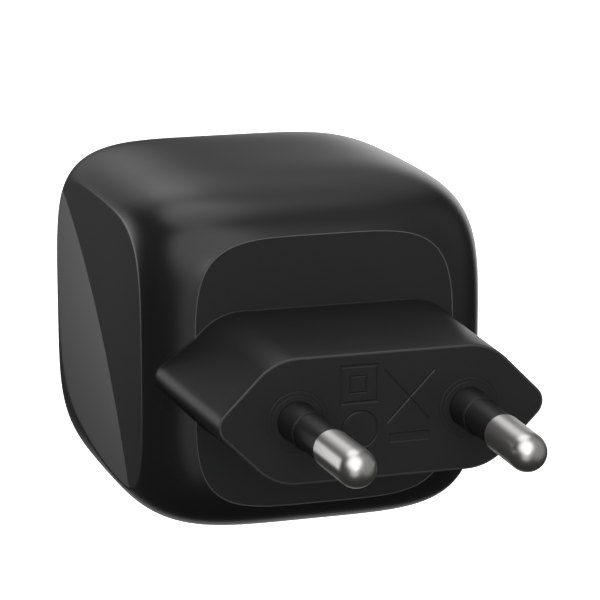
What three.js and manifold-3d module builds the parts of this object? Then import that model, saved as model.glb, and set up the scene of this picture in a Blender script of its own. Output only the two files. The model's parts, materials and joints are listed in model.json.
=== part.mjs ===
// A compact USB wall charger with a fixed two-pin europlug, as an assembly of its real pieces.
// Units are millimetres. The origin is the centre of the plug's engagement face, +Z is up, the pins
// point towards -Y and the USB-C port looks out of the +Y end.
import * as THREE from "three";
import { mergeVertices } from "three/addons/utils/BufferGeometryUtils.js";
import Module from "manifold-3d";

const wasm = await Module();
wasm.setup();

// ---------------------------------------------------------------- driving dimensions
const GAP = 0.15; // clearance between two pieces that meet
const PLAY = 0.2; // round a board, rib or socket that slides into its place
const BIG = 200; // reach of a cutting block

// Contact pins of the two-pin plug.
const PIN_RADIUS = 2;
const PIN_LENGTH = 19;
const PIN_SPACING = 18.6; // between the two axes, at the engagement face
const PIN_LEAN = Math.asin(0.55 / PIN_LENGTH); // each pin leans in, to 17.5 mm between the tips
const SLEEVE_LENGTH = 10.2;
const SLEEVE_RADIUS = 1.88;
const COLLAR_LENGTH = 4.05;
const COLLAR_RADIUS = 2.06;
const SHANK_RADIUS = 1.4;
const TENON_RADIUS = 0.9;
const SHANK_END = 4.6; // behind the engagement face
const TENON_END = 5.8;
const PIN_SIDES = 28;

// Plug block, a flattened hexagon that widens a little towards the housing.
const PLUG_LENGTH = 19.2;
const PLUG_HALF_WIDTH = 17.6;
const PLUG_HALF_HEIGHT = 6.7;
const PLUG_TAPER_WIDTH = 0.8;
const PLUG_TAPER_HEIGHT = 0.4;
const PLUG_SIDE_RADIUS = 1.85;
const PLUG_TOP_RADIUS = 6;
const PLUG_EDGE = 0.18; // rounding of the front edge
const PLUG_WALL = 1.8;
const FACE_RIM = 0.25;
const FACE_THICKNESS = 2.3;
const BLOCK_BACK_WALL = 2;
const SPIGOT_HALF_WIDTH = 12;
const SPIGOT_HALF_HEIGHT = 5.3;
const SPIGOT_SIDE_RADIUS = 1.5;
const SPIGOT_TOP_RADIUS = 3;
const SPIGOT_WALL = 1.4;
const SPIGOT_REACH = 5.2; // past the plug's back, through the rear cover

// Housing: a rounded cube whose faces are all a little crowned.
const BODY_HALF_WIDTH = 21.4;
const BODY_HALF_HEIGHT = 19.9;
const BODY_WIDEST = 24; // depth behind the rear face at which the body is widest
const BODY_FULL_DEPTH = 52; // where the crown of the port end would close
const BODY_DEPTH = 51.2; // where its flat face cuts that crown
const REAR_CROWN = 4.3;
const PORT_CROWN = 4;
const PANEL_HALF_WIDTH = 14.8;
const PANEL_HALF_HEIGHT = 15.15;
const PANEL_SQUARENESS = 4.45;
const BODY_SQUARENESS = 4.8;
const OUTLINE_POINTS = 72;
const CROWN_STEPS = 11;

// Two facets on each side: a flat one, and a gently domed one that rises from a slanted crease.
const FACET_HALF_WIDTH = 19.55;
const CREASE_RADIUS = 75.7;
const CREASE_RISE = 0.12; // slope of the dome where it leaves the crease
const CREASE_CENTRE_DEPTH = 75.5;
const CREASE_CENTRE_HEIGHT = -54.4;

// Hollow of the housing and its two covers.
const CAVITY_HALF_WIDTH = 17.3;
const CAVITY_HALF_HEIGHT = 16.6;
const CAVITY_MOUTH_WIDTH = 16.1;
const CAVITY_MOUTH_HEIGHT = 15.9;
const COVER_THICKNESS = 2.2;
const FLANGE_THICKNESS = 1.3;
const SEAM_DEPTH = 44.6; // between the housing and the port cap
const LIP_REACH = 2;
const LIP_WALL = 1.5;
const CAP_WALL = 2;
const CAP_HOLLOW_WIDTH = 13.4;
const CAP_HOLLOW_HEIGHT = 12.4;
const RIB_REACH = 14.3; // the ribs that hold the board's edges
const RIB_ROOT = 18.5;
const RIB_THICKNESS = 1.2;

// Electronics, laid out from the board's top face.
const BOARD_TOP = -11.6;
const BOARD_THICKNESS = 1.6;
const BOARD_HALF_WIDTH = 15;
const BOARD_START = 24;
const BOARD_END = 61.3;
const STAND_OFF = 0.3;
const PART_FLOOR = BOARD_TOP + STAND_OFF;

// USB-C receptacle, standing with its long side upright.
const PORT_HALF_WIDTH = 1.58;
const PORT_HALF_HEIGHT = 4.47;
const PORT_SHEET = 0.3;
const PORT_LENGTH = 7.3;
const PORT_MOUTH = PLUG_LENGTH + BODY_DEPTH - 0.2;
const PORT_FLARE = 0.5; // chamfer of the opening round it
const CONTACT_PITCH = 0.5;
const CONTACTS_PER_SIDE = 12;

// ---------------------------------------------------------------- helpers
function solid(geometry) {
  const bare = geometry.clone();
  bare.deleteAttribute("normal");
  bare.deleteAttribute("uv");
  const merged = mergeVertices(bare, 1e-4);
  return new wasm.Manifold(
    new wasm.Mesh({
      numProp: 3,
      vertProperties: merged.attributes.position.array,
      triVerts: new Uint32Array(merged.index.array),
    }),
  );
}

function geometryOf(manifold) {
  const mesh = manifold.getMesh();
  const geometry = new THREE.BufferGeometry();
  const positions = new Float32Array(mesh.vertProperties);
  geometry.setAttribute("position", new THREE.BufferAttribute(positions, 3));
  geometry.setIndex(new THREE.BufferAttribute(new Uint32Array(mesh.triVerts), 1));
  const flat = geometry.toNonIndexed();
  flat.computeVertexNormals();
  return flat;
}

const union = (...solids) => solids.reduce((whole, piece) => whole.add(piece));
const cut = (body, ...tools) => tools.reduce((left, tool) => left.subtract(tool), body);

function boxGeometry([x0, x1], [y0, y1], [z0, z1]) {
  const box = new THREE.BoxGeometry(x1 - x0, y1 - y0, z1 - z0);
  return box.translate((x0 + x1) / 2, (y0 + y1) / 2, (z0 + z1) / 2);
}

const block = (x, y, z) => solid(boxGeometry(x, y, z));

// A closed solid through rings of equal length, each { y, points: [[x, z], ...] }, anticlockwise
// as seen from -Y.
function loft(rings) {
  const count = rings[0].points.length;
  const positions = [];
  for (const ring of rings) {
    for (const [x, z] of ring.points) positions.push(x, ring.y, z);
  }
  const last = rings.length - 1;
  positions.push(0, rings[0].y, 0, 0, rings[last].y, 0);
  const frontCentre = rings.length * count;
  const index = [];
  for (let i = 0; i < count; i++) {
    const next = (i + 1) % count;
    index.push(frontCentre, i, next);
    index.push(frontCentre + 1, last * count + next, last * count + i);
    for (let r = 0; r < last; r++) {
      const low = r * count;
      const high = low + count;
      index.push(low + i, high + next, low + next);
      index.push(low + i, high + i, high + next);
    }
  }
  const geometry = new THREE.BufferGeometry();
  geometry.setAttribute("position", new THREE.Float32BufferAttribute(positions, 3));
  geometry.setIndex(index);
  return geometry;
}

function superellipse(halfWidth, halfHeight, squareness, count = OUTLINE_POINTS) {
  const points = [];
  for (let i = 0; i < count; i++) {
    const angle = (2 * Math.PI * i) / count;
    const along = Math.abs(Math.cos(angle)) ** (2 / squareness) * Math.sign(Math.cos(angle));
    const up = Math.abs(Math.sin(angle)) ** (2 / squareness) * Math.sign(Math.sin(angle));
    points.push([halfWidth * along, halfHeight * up]);
  }
  return points;
}

// Flattened hexagon: 90 degree points left and right, wide rounded shoulders above and below.
function hexagon(halfWidth, halfHeight, sideRadius, topRadius, steps = 5) {
  const quarter = Math.PI / 4;
  const cornerX = halfWidth - sideRadius + sideRadius / Math.sin(quarter) - halfHeight;
  const topX = cornerX - topRadius * Math.tan(quarter / 2);
  const half = [];
  const arc = (x, z, radius, from, to) => {
    for (let i = 0; i <= steps; i++) {
      const angle = from + ((to - from) * i) / steps;
      half.push([x + radius * Math.cos(angle), z + radius * Math.sin(angle)]);
    }
  };
  arc(topX, topRadius - halfHeight, topRadius, -2 * quarter, -quarter);
  arc(halfWidth - sideRadius, 0, sideRadius, -quarter, quarter);
  arc(topX, halfHeight - topRadius, topRadius, quarter, 2 * quarter);
  return [...half, ...half.map(([x, z]) => [-x, -z])];
}

function stadium(halfWidth, halfHeight, steps = 8) {
  const points = [];
  for (const side of [-1, 1]) {
    for (let i = 0; i <= steps; i++) {
      const angle = (side * Math.PI) / 2 + Math.PI * (i / steps - 0.5);
      const x = halfWidth * Math.cos(angle);
      points.push([x, side * (halfHeight - halfWidth) + halfWidth * Math.sin(angle)]);
    }
  }
  return points;
}

const prism = (points, y0, y1) => solid(loft([{ y: y0, points }, { y: y1, points }]));

function taper(points0, y0, points1, y1) {
  return solid(loft([{ y: y0, points: points0 }, { y: y1, points: points1 }]));
}

// A turned solid around the Y axis from [radius, y] points.
function turned(profile, sides = PIN_SIDES) {
  const points = profile.map(([radius, y]) => new THREE.Vector2(radius, y));
  return new THREE.LatheGeometry(points, sides);
}

function ring(inner, outer, y0, y1, sides = PIN_SIDES) {
  return turned([[inner, y0], [outer, y0], [outer, y1], [inner, y1], [inner, y0]], sides);
}

function disc(radius, y0, y1, sides = PIN_SIDES) {
  return turned([[0, y0], [radius, y0], [radius, y1], [0, y1]], sides);
}

// Turns a shape made along Y upright, and stands it at x, y with its y = 0 end at height z.
const upright = (geometry, x, y, z) => geometry.rotateX(Math.PI / 2).translate(x, y, z);

// ---------------------------------------------------------------- outer form of the body
function bodySection(depth, grow = 0) {
  const narrowing = (full, panel) => {
    const start = 1 - (panel / full) ** REAR_CROWN;
    const rear = start * ((BODY_WIDEST - depth) / BODY_WIDEST) ** REAR_CROWN;
    return full * (1 - rear) ** (1 / REAR_CROWN);
  };
  const past = (depth - BODY_WIDEST) / (BODY_FULL_DEPTH - BODY_WIDEST);
  const closing = past > 0 ? (1 - past ** PORT_CROWN) ** (1 / PORT_CROWN) : 1;
  const rearward = past < 0;
  const width = rearward ? narrowing(BODY_HALF_WIDTH, PANEL_HALF_WIDTH) : BODY_HALF_WIDTH * closing;
  const height = rearward ? narrowing(BODY_HALF_HEIGHT, PANEL_HALF_HEIGHT) : BODY_HALF_HEIGHT * closing;
  const blend = Math.min(1, depth / BODY_WIDEST);
  const squareness = PANEL_SQUARENESS + (BODY_SQUARENESS - PANEL_SQUARENESS) * blend;
  return superellipse(width + grow, height + grow, squareness);
}

function bodyLoft(grow = 0) {
  const depths = [];
  for (let i = 0; i < CROWN_STEPS; i++) {
    depths.push(BODY_WIDEST * (1 - Math.cos((Math.PI / 2) * (i / CROWN_STEPS))));
  }
  const reach = BODY_FULL_DEPTH - BODY_WIDEST;
  const lastAngle = Math.asin((BODY_DEPTH - BODY_WIDEST) / reach);
  for (let i = 0; i <= CROWN_STEPS; i++) {
    depths.push(BODY_WIDEST + reach * Math.sin((lastAngle * i) / CROWN_STEPS));
  }
  const rings = depths.map((depth) => ({
    y: PLUG_LENGTH + depth - grow,
    points: bodySection(depth, grow),
  }));
  return solid(loft(rings));
}

// The dome that carries the raised facet on one side: +1 is the right side, -1 the left.
function facetDome(side) {
  const radius = CREASE_RADIUS / Math.sin(Math.atan(CREASE_RISE));
  const drop = Math.sqrt(radius ** 2 - CREASE_RADIUS ** 2);
  const profile = [[0, -1], [CREASE_RADIUS, -1]];
  const steps = 8;
  for (let i = 0; i <= steps; i++) {
    const r = CREASE_RADIUS * (1 - i / steps);
    profile.push([r, Math.sqrt(radius ** 2 - r ** 2) - drop]);
  }
  const dome = turned(profile, 120);
  dome.rotateZ(-side * (Math.PI / 2));
  dome.translate(side * FACET_HALF_WIDTH, PLUG_LENGTH + CREASE_CENTRE_DEPTH, CREASE_CENTRE_HEIGHT);
  return solid(dome);
}

function facettedBody() {
  const slab = block([-FACET_HALF_WIDTH, FACET_HALF_WIDTH], [-BIG, BIG], [-BIG, BIG]);
  return bodyLoft().intersect(union(slab, facetDome(1), facetDome(-1)));
}

const panelOutline = (shrink) =>
  superellipse(PANEL_HALF_WIDTH - shrink, PANEL_HALF_HEIGHT - shrink, PANEL_SQUARENESS);
const cavityOutline = (width, height) => superellipse(width, height, BODY_SQUARENESS, 48);
const behind = (depth) => PLUG_LENGTH + depth;

// ---------------------------------------------------------------- housing and covers
function housingShell() {
  const seam = block([-BIG, BIG], [behind(SEAM_DEPTH), BIG], [-BIG, BIG]);
  const mouth = COVER_THICKNESS + GAP;
  const widening = 5; // depth over which the cavity opens out behind the cover
  const cavityRings = [
    [mouth, CAVITY_MOUTH_WIDTH, CAVITY_MOUTH_HEIGHT],
    [mouth + FLANGE_THICKNESS + GAP, CAVITY_MOUTH_WIDTH, CAVITY_MOUTH_HEIGHT],
    [mouth + widening, CAVITY_HALF_WIDTH, CAVITY_HALF_HEIGHT],
    [SEAM_DEPTH + 1, CAVITY_HALF_WIDTH, CAVITY_HALF_HEIGHT],
  ];
  const cavity = solid(
    loft(cavityRings.map(([depth, w, h]) => ({ y: behind(depth), points: cavityOutline(w, h) }))),
  );
  const opening = prism(panelOutline(0), behind(-1), behind(mouth + 1));
  const shell = cut(facettedBody(), seam, cavity, opening);
  const length = [behind(mouth + widening), BOARD_END];
  const boardBottom = BOARD_TOP - BOARD_THICKNESS;
  const heights = [
    [BOARD_TOP + PLAY, BOARD_TOP + PLAY + RIB_THICKNESS],
    [boardBottom - PLAY - RIB_THICKNESS, boardBottom - PLAY],
  ];
  const ribs = heights.flatMap((z) => [
    block([RIB_REACH, RIB_ROOT], length, z),
    block([-RIB_ROOT, -RIB_REACH], length, z),
  ]);
  return union(shell, ...ribs);
}

function portCap() {
  const front = block([-BIG, BIG], [-BIG, behind(SEAM_DEPTH + GAP)], [-BIG, BIG]);
  const lipWidth = CAVITY_HALF_WIDTH - GAP;
  const lipHeight = CAVITY_HALF_HEIGHT - GAP;
  const lipStart = behind(SEAM_DEPTH - LIP_REACH);
  const lip = prism(cavityOutline(lipWidth, lipHeight), lipStart, behind(SEAM_DEPTH + 1));
  const hollow = taper(
    cavityOutline(lipWidth - LIP_WALL, lipHeight - LIP_WALL),
    lipStart - 1,
    cavityOutline(CAP_HOLLOW_WIDTH, CAP_HOLLOW_HEIGHT),
    behind(BODY_DEPTH - CAP_WALL),
  );
  const opening = (grow) => stadium(PORT_HALF_WIDTH + grow, PORT_HALF_HEIGHT + grow);
  const slot = prism(opening(PLAY), 0, BIG);
  const flare = taper(
    opening(PLAY),
    behind(BODY_DEPTH - PORT_FLARE),
    opening(PLAY + PORT_FLARE),
    behind(BODY_DEPTH),
  );
  return cut(union(cut(facettedBody(), front), lip), hollow, slot, flare);
}

// Outline of the short neck by which the plug is welded into the rear cover.
function spigotOutline(grow) {
  return hexagon(
    SPIGOT_HALF_WIDTH + grow,
    SPIGOT_HALF_HEIGHT + grow,
    SPIGOT_SIDE_RADIUS + grow / 2,
    SPIGOT_TOP_RADIUS + grow / 2,
  );
}

function rearCover() {
  const plate = prism(panelOutline(GAP), behind(0), behind(COVER_THICKNESS));
  const flangeEnd = behind(COVER_THICKNESS + GAP + FLANGE_THICKNESS);
  const flangeShape = cavityOutline(CAVITY_MOUTH_WIDTH - GAP, CAVITY_MOUTH_HEIGHT - GAP);
  const flange = prism(flangeShape, behind(COVER_THICKNESS + 2 * GAP), flangeEnd);
  const core = prism(panelOutline(GAP), behind(1), flangeEnd);
  return cut(union(plate, core, flange), prism(spigotOutline(GAP), 0, BIG));
}

// ---------------------------------------------------------------- plug
function plugOutline(share, shrink) {
  return hexagon(
    PLUG_HALF_WIDTH + PLUG_TAPER_WIDTH * share - shrink,
    PLUG_HALF_HEIGHT + PLUG_TAPER_HEIGHT * share - shrink,
    Math.max(PLUG_SIDE_RADIUS - shrink, 0.6),
    PLUG_TOP_RADIUS - shrink,
    7,
  );
}

function plugBlock() {
  const overrun = 5; // the block is made too long, then cut to the crown of the housing
  const share = 1 + overrun / PLUG_LENGTH;
  const outer = solid(
    loft([
      { y: 0, points: plugOutline(0, PLUG_EDGE) },
      { y: PLUG_EDGE * 0.3, points: plugOutline(0, PLUG_EDGE * 0.3) },
      { y: PLUG_EDGE, points: plugOutline(0, 0) },
      { y: behind(overrun), points: plugOutline(share, 0) },
    ]),
  );
  const seat = prism(plugOutline(0, FACE_RIM), -1, FACE_THICKNESS + GAP);
  const hollow = prism(plugOutline(0, PLUG_WALL), 0.5, PLUG_LENGTH - BLOCK_BACK_WALL);
  const neck = prism(spigotOutline(0), PLUG_LENGTH - 1, PLUG_LENGTH + SPIGOT_REACH);
  const hull = cut(outer, bodyLoft(GAP));
  return cut(union(hull, neck), seat, hollow, prism(spigotOutline(-SPIGOT_WALL), 1, BIG));
}

// Moves a shape made on the Y axis to a pin's axis: +1 is the right pin, -1 the left.
function atPin(geometry, side) {
  return geometry.rotateZ(-side * PIN_LEAN).translate((side * PIN_SPACING) / 2, 0, 0);
}

function plugFace() {
  const plate = prism(plugOutline(0, FACE_RIM + GAP), 0, FACE_THICKNESS);
  const bore = COLLAR_RADIUS + 0.06;
  const holes = [-1, 1].map((side) => solid(atPin(disc(bore, -2, FACE_THICKNESS + 2), side)));
  return cut(plate, ...holes);
}

function contactPin() {
  const tip = PIN_LENGTH - PIN_RADIUS;
  const profile = [[0, -PIN_LENGTH]];
  const steps = 7;
  for (let i = 1; i <= steps; i++) {
    const angle = (Math.PI / 2) * (i / steps);
    profile.push([PIN_RADIUS * Math.sin(angle), -tip - PIN_RADIUS * Math.cos(angle)]);
  }
  const shoulder = -SLEEVE_LENGTH - 0.05;
  profile.push([PIN_RADIUS, shoulder], [SHANK_RADIUS, shoulder]);
  profile.push([SHANK_RADIUS, SHANK_END], [TENON_RADIUS, SHANK_END]);
  profile.push([TENON_RADIUS, TENON_END], [0, TENON_END]);
  return turned(profile);
}

function pinSleeve() {
  const bore = SHANK_RADIUS + 0.05;
  const step = 0.12;
  return turned([
    [bore, -SLEEVE_LENGTH],
    [SLEEVE_RADIUS, -SLEEVE_LENGTH],
    [SLEEVE_RADIUS, -COLLAR_LENGTH],
    [COLLAR_RADIUS - step, -COLLAR_LENGTH],
    [COLLAR_RADIUS, -COLLAR_LENGTH + step],
    [COLLAR_RADIUS, FACE_THICKNESS],
    [bore, FACE_THICKNESS],
    [bore, -SLEEVE_LENGTH],
  ]);
}

// Riveted tab on the pin's tenon with a blade that runs back through the plug's throat.
const BLADE_X = 7;
const BLADE_END = 25;

function pinContact(side) {
  const pinX = PIN_SPACING / 2 + SHANK_END * Math.sin(PIN_LEAN);
  const start = SHANK_END + PLAY;
  const sheet = 0.5;
  const tab = block([BLADE_X - sheet, pinX + 2], [start, start + 0.6], [-1.9, 1.9]);
  const blade = block([BLADE_X - sheet, BLADE_X], [start, BLADE_END], [-1.5, 1.5]);
  const hole = solid(disc(TENON_RADIUS + 0.08, 0, BLADE_END).translate(pinX, 0, 0));
  const whole = cut(union(tab, blade), hole);
  return side > 0 ? whole : whole.mirror([1, 0, 0]);
}

function tube(points, radius, sides = 10) {
  const path = new THREE.CatmullRomCurve3(points.map((p) => new THREE.Vector3(...p)));
  const section = new THREE.Shape();
  section.absarc(0, 0, radius, 0, 2 * Math.PI);
  const steps = 22;
  const options = { steps, curveSegments: sides, bevelEnabled: false, extrudePath: path };
  return new THREE.ExtrudeGeometry(section, options);
}

function mainsWire(side) {
  const foot = side > 0 ? 2.2 : -5.2; // where it meets the board
  const start = side * (BLADE_X - 0.3);
  const radius = 0.8;
  return tube(
    [
      [start, BLADE_END + radius + 0.1, 0],
      [start, BLADE_END + 2, -0.6],
      [(start + foot) / 2, BLADE_END + 2.2, -2.2],
      [foot, BLADE_END + 1.8, -5],
      [foot, BLADE_END + 1.4, PART_FLOOR],
    ],
    radius,
  );
}

// ---------------------------------------------------------------- boards
const TAB_SPANS = [[52.2, 54.4], [57.4, 59.6]];
const USB_BOARD_FACE = PORT_HALF_WIDTH + 0.07;
const USB_BOARD_THICKNESS = 1.2;

function mainBoard() {
  const width = [-BOARD_HALF_WIDTH, BOARD_HALF_WIDTH];
  const board = block(width, [BOARD_START, BOARD_END], [BOARD_TOP - BOARD_THICKNESS, BOARD_TOP]);
  const x = [USB_BOARD_FACE - PLAY, USB_BOARD_FACE + USB_BOARD_THICKNESS + PLAY];
  const slots = TAB_SPANS.map(([y0, y1]) => block(x, [y0 - PLAY, y1 + PLAY], [-BIG, 0]));
  return cut(board, ...slots);
}

function usbBoard() {
  const x = [USB_BOARD_FACE, USB_BOARD_FACE + USB_BOARD_THICKNESS];
  const board = block(x, [50.6, 68], [PART_FLOOR, 7.5]);
  const tabBottom = BOARD_TOP - BOARD_THICKNESS - 0.8;
  const tabs = TAB_SPANS.map((y) => block(x, y, [tabBottom, PART_FLOOR + 1]));
  const notch = block([0, 5], [61, 70], [-BIG, -8]); // clears the cap's lip
  return cut(union(board, ...tabs), notch);
}

// ---------------------------------------------------------------- mains side
const standing = (x, y, z) => boxGeometry(x, y, [PART_FLOOR, PART_FLOOR + z]);

function standingCan(radius, height, x, y) {
  const groove = 0.35;
  const profile = [
    [0, 0],
    [radius - groove, 0],
    [radius, groove],
    [radius, 1.6],
    [radius - groove, 2],
    [radius - groove, 2.5],
    [radius, 2.9],
    [radius, height - groove],
    [radius - groove, height],
    [0, height],
  ];
  return upright(turned(profile, 24), x, y, PART_FLOOR);
}

const coatedDisc = (radius, thickness, x, y) => {
  const edge = thickness / 3;
  const profile = [
    [0, 0],
    [radius - edge, 0],
    [radius, edge],
    [radius, thickness - edge],
    [radius - edge, thickness],
    [0, thickness],
  ];
  return turned(profile, 24).translate(x, y, PART_FLOOR + radius);
};

const CHOKE = { x: -10.4, y: 33.4, z: PART_FLOOR + 5.6, inner: 2.6, outer: 4.9, half: 2.1 };

function chokeRing(grow) {
  const inner = CHOKE.inner - grow;
  const geometry = ring(inner, CHOKE.outer + grow, -CHOKE.half - grow, CHOKE.half + grow, 36);
  return geometry.rotateZ(Math.PI / 2).translate(CHOKE.x, CHOKE.y, CHOKE.z);
}

function chokeWinding(side) {
  const clear = 0.12;
  const wire = 0.7;
  const sector = block([-BIG, BIG], side > 0 ? [0.9, BIG] : [-BIG, -0.9], [-BIG, BIG]);
  const arc = sector.translate([0, CHOKE.y, 0]);
  return solid(chokeRing(wire)).subtract(solid(chokeRing(clear))).intersect(arc);
}

// ---------------------------------------------------------------- transformer
const TRANSFORMER = { x: 5.1, y: 41.7, halfX: 8.8, halfY: 7.4, base: 3.4, leg: 6.5, post: 3.6 };
TRANSFORMER.middle = PART_FLOOR + TRANSFORMER.base + TRANSFORMER.leg + 0.1;

// One E shaped half of the core, legs up; the upper half is the same piece turned over.
function transformerCore(upper) {
  const { halfX, halfY, base, leg, post } = TRANSFORMER;
  const face = -0.1; // half the air gap between the two halves
  const foot = face - leg;
  const plate = block([-halfX, halfX], [-halfY, halfY], [foot - base, foot]);
  const left = block([-halfX, 1.2 - halfX], [-halfY, halfY], [foot - 1, face]);
  const right = block([halfX - 1.2, halfX], [-halfY, halfY], [foot - 1, face]);
  const column = solid(upright(disc(post, foot - 1, face), 0, 0, 0));
  const half = union(plate, left, right, column);
  const turnedHalf = upper ? half.rotate([180, 0, 0]) : half;
  return turnedHalf.translate([TRANSFORMER.x, TRANSFORMER.y, TRANSFORMER.middle]);
}

function aroundPost(inner, outer, half) {
  const { x, y, middle } = TRANSFORMER;
  return upright(ring(inner, outer, -half, half), x, y, middle);
}

function transformerBobbin() {
  const { post, leg } = TRANSFORMER;
  const half = leg - 0.2;
  const flange = 0.7;
  const bore = post + 0.15;
  const barrel = bore + 0.7;
  const rim = 7.3;
  const profile = [
    [bore, -half],
    [rim, -half],
    [rim, flange - half],
    [barrel, flange - half],
    [barrel, half - flange],
    [rim, half - flange],
    [rim, half],
    [bore, half],
    [bore, -half],
  ];
  return upright(turned(profile), TRANSFORMER.x, TRANSFORMER.y, TRANSFORMER.middle);
}

// ---------------------------------------------------------------- USB receptacle
function usbShell() {
  const outer = prism(
    stadium(PORT_HALF_WIDTH, PORT_HALF_HEIGHT),
    PORT_MOUTH - PORT_LENGTH,
    PORT_MOUTH,
  );
  const inside = stadium(PORT_HALF_WIDTH - PORT_SHEET, PORT_HALF_HEIGHT - PORT_SHEET);
  return cut(outer, prism(inside, 0, BIG));
}

function usbTongue() {
  const fill = PORT_SHEET + 0.06;
  const rear = stadium(PORT_HALF_WIDTH - fill, PORT_HALF_HEIGHT - fill);
  const base = prism(rear, PORT_MOUTH - PORT_LENGTH, PORT_MOUTH - 5.3);
  const tongue = block([-0.25, 0.25], [PORT_MOUTH - 6, PORT_MOUTH - 0.9], [-3.34, 3.34]);
  return union(base, tongue);
}

// Twelve contacts on one side of the tongue, joined at their roots as on the stamped strip.
function usbContacts(side) {
  const x = side > 0 ? [0.27, 0.37] : [-0.37, -0.27];
  const root = block(x, [PORT_MOUTH - 5.2, PORT_MOUTH - 4.8], [-3.1, 3.1]);
  const blades = Array.from({ length: CONTACTS_PER_SIDE }, (_, i) => {
    const z = (i - (CONTACTS_PER_SIDE - 1) / 2) * CONTACT_PITCH;
    return block(x, [PORT_MOUTH - 5.1, PORT_MOUTH - 1.4], [z - 0.14, z + 0.14]);
  });
  return union(root, ...blades);
}

// ---------------------------------------------------------------- heat and insulation
// A folded sheet over the electronics: a roof and two sides, open at both ends.
function saddle(halfWidth, top, thickness, [y0, y1]) {
  const inner = halfWidth - thickness;
  const foot = BOARD_TOP + 1.7;
  return cut(
    block([-halfWidth, halfWidth], [y0, y1], [foot, top]),
    block([-inner, inner], [-BIG, BIG], [-BIG, top - thickness]),
  );
}

// ---------------------------------------------------------------- assembly
const finish = (color, roughness, metalness = 0) =>
  new THREE.MeshStandardMaterial({ color, roughness, metalness });

const MATERIALS = {
  housing: finish(0x2a2a2b, 0.42),
  panel: finish(0x232324, 0.6),
  plug: finish(0x29292a, 0.45),
  sleeve: finish(0x161617, 0.4),
  nickel: finish(0xc8c6c0, 0.18, 1),
  brass: finish(0xc9a45a, 0.35, 1),
  gold: finish(0xd9b35c, 0.25, 1),
  steel: finish(0xb9bbbd, 0.3, 1),
  aluminium: finish(0xc4c7ca, 0.4, 1),
  wire: finish(0xd8d4cc, 0.5),
  laminate: finish(0x1f5a36, 0.5),
  package: finish(0x1c1c1e, 0.6),
  filmBox: finish(0xb9a33a, 0.45),
  fuseBox: finish(0x3a3a3a, 0.5),
  greenCoat: finish(0x2c6b45, 0.5),
  blueCoat: finish(0x2f5f9e, 0.5),
  canSleeve: finish(0x1d2b45, 0.4),
  ferrite: finish(0x3b3b3d, 0.7),
  copper: finish(0xb0613a, 0.35, 1),
  tape: finish(0xd8b838, 0.45),
  bobbin: finish(0x242424, 0.5),
  film: finish(0xe8e4d6, 0.5),
  pad: finish(0x8fa3b5, 0.8),
  tongue: finish(0x1b1b1c, 0.5),
};

const charger = new THREE.Group();

function place(name, shape, material) {
  const geometry = shape.isBufferGeometry ? shape : geometryOf(shape);
  const mesh = new THREE.Mesh(geometry, MATERIALS[material]);
  mesh.name = name;
  charger.add(mesh);
}

place("housing_shell", housingShell(), "housing");
place("port_cap", portCap(), "housing");
place("rear_cover", rearCover(), "panel");
place("plug_block", plugBlock(), "plug");
place("plug_face", plugFace(), "plug");

for (const [label, side] of [["left", -1], ["right", 1]]) {
  place(`pin_${label}`, atPin(contactPin(), side), "nickel");
  place(`pin_sleeve_${label}`, atPin(pinSleeve(), side), "sleeve");
  place(`pin_contact_${label}`, pinContact(side), "brass");
  place(`mains_wire_${label}`, mainsWire(side), "wire");
  place(`choke_winding_${label}`, chokeWinding(side), "copper");
  place(`usb_contacts_${label}`, usbContacts(side), "gold");
}

const underBoard = (x, y, thickness) => {
  const top = BOARD_TOP - BOARD_THICKNESS - STAND_OFF / 2;
  return boxGeometry(x, y, [top - thickness, top]);
};

place("main_board", mainBoard(), "laminate");
place("fuse", standing([4.8, 13.2], [24.2, 28], 5.6), "fuseBox");
place("thermistor", coatedDisc(3.6, 3, -3.4, 30.6), "greenCoat");
place("x_capacitor", standing([1.4, 13.9], [28.4, 33.8], 12), "filmBox");
place("choke_core", chokeRing(0), "ferrite");
place("bridge_rectifier", underBoard([-11, -3], [30, 38], 1.6), "package");
place("power_switch", underBoard([-1, 7], [40, 48], 1), "package");
place("bulk_capacitor_rear", standingCan(5, 20, -9, 44.3), "canSleeve");
place("bulk_capacitor_front", standingCan(5, 20, -9, 54.9), "canSleeve");

const { post, leg } = TRANSFORMER;
place("transformer_core_lower", transformerCore(false), "ferrite");
place("transformer_core_upper", transformerCore(true), "ferrite");
place("transformer_bobbin", transformerBobbin(), "bobbin");
place("transformer_winding", aroundPost(post + 1, 6.6, leg - 1.1), "copper");
place("transformer_tape", aroundPost(6.75, 7.1, leg - 1.1), "tape");

place("optocoupler", standing([-3.4, 0.9], [50.4, 55], 3.4), "package");
place("y_capacitor", coatedDisc(3, 2.6, -1.6, 57.9), "blueCoat");
place("output_capacitor_rear", standingCan(2.8, 9, 7.7, 52.6), "aluminium");
place("output_capacitor_front", standingCan(2.8, 9, 7.7, 58.4), "aluminium");

const onUsbBoard = USB_BOARD_FACE + USB_BOARD_THICKNESS + 0.05;
place("usb_board", usbBoard(), "laminate");
place("sync_rectifier", boxGeometry([onUsbBoard, onUsbBoard + 1], [53, 58], [0, 6]), "package");
place("pd_controller", boxGeometry([onUsbBoard, onUsbBoard + 0.9], [60, 64], [-4, 0]), "package");
place("usb_shell", usbShell(), "steel");
place("usb_tongue", usbTongue(), "tongue");

const covered = [BOARD_START + 6, BOARD_END - 0.4];
place("insulation_sheet", saddle(14.65, 11.85, 0.25, covered), "film");
place("heat_spreader", saddle(15.6, 12.8, 0.6, covered), "aluminium");
place("thermal_pad", boxGeometry([-2, 12.2], [36, 47], [9.4, 11.4]), "pad");

export default charger;
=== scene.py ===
import json
import math

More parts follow.
